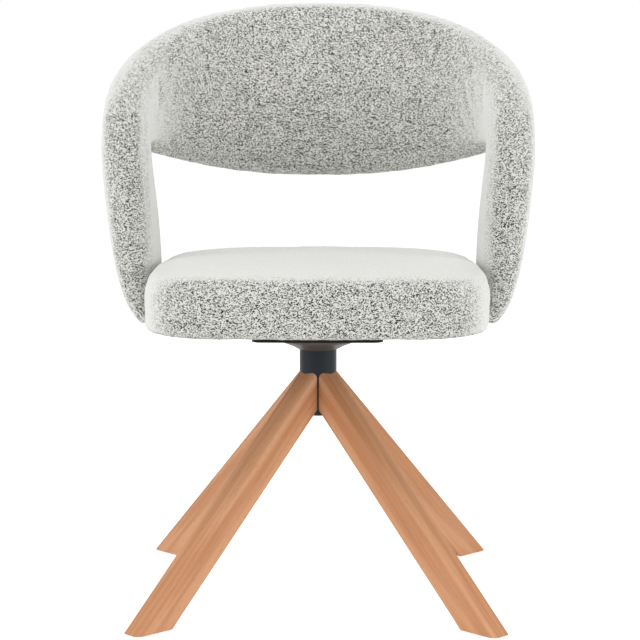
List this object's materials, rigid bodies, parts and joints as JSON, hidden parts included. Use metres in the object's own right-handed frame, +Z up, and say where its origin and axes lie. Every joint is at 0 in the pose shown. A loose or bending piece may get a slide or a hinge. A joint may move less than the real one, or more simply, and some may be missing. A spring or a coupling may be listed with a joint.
{
  "type": "swivel dining chair",
  "caption": "Upholstered swivel armchair for dining: a rounded seat cushion and a padded band that forms back and arms, on a steel hub with splayed wooden legs.",
  "frame": {"origin": "on the floor under the swivel axis, centre of the chair's footprint", "axes": "+Z up, +Y towards the backrest, +X to the right seen from the front"},
  "size_m": [0.5872, 0.5015, 0.811],
  "materials": {
    "boucle": "woven boucle with dark flecks",
    "beech": "satin lacquer",
    "hub_paint": "satin powder coat",
    "black_paint": "satin powder coat",
    "cup_paint": "satin powder coat",
    "zinc_steel": "zinc plated",
    "black_plastic": "matte",
    "white_nylon": "matte",
    "glide_plastic": "matte",
    "plywood": "bare plywood",
    "dust_cloth": "non-woven cloth"
  },
  "bodies": {
    "base": {"hub_tube": "hub_paint", "hub_cap": "black_plastic", "leg_front_right": "beech", "leg_rear_right": "beech", "leg_rear_left": "beech", "leg_front_left": "beech", "leg_strap_front_right": "hub_paint", "leg_strap_rear_right": "hub_paint", "leg_strap_rear_left": "hub_paint", "leg_strap_front_left": "hub_paint", "foot_glide_front_right": "glide_plastic", "foot_glide_rear_right": "glide_plastic", "foot_glide_rear_left": "glide_plastic", "foot_glide_front_left": "glide_plastic", "leg_screws": "zinc_steel", "upper_bush": "white_nylon", "lower_bush": "white_nylon", "thrust_washer": "zinc_steel"},
    "seat": {"spindle": "zinc_steel", "retaining_washer": "zinc_steel", "retaining_ring": "zinc_steel", "slide_ring": "white_nylon", "seat_plate": "black_paint", "swivel_cup": "cup_paint", "plate_bolts": "zinc_steel", "dust_cover": "dust_cloth", "seat_board": "plywood", "tee_nuts": "zinc_steel", "arm_bracket_left": "black_paint", "arm_bracket_right": "black_paint", "bracket_bolts": "zinc_steel", "band_shell": "plywood", "shell_bolts": "zinc_steel", "back_pad": "boucle", "arm_pad_left": "boucle", "arm_pad_right": "boucle", "seat_cushion": "boucle"}
  },
  "joints": [
    {"name": "seat_swivel", "type": "hinge", "parent": "base", "child": "seat", "pos_m": [0, 0, 0.34], "axis": [0, 0, 1], "continuous": true}
  ]
}
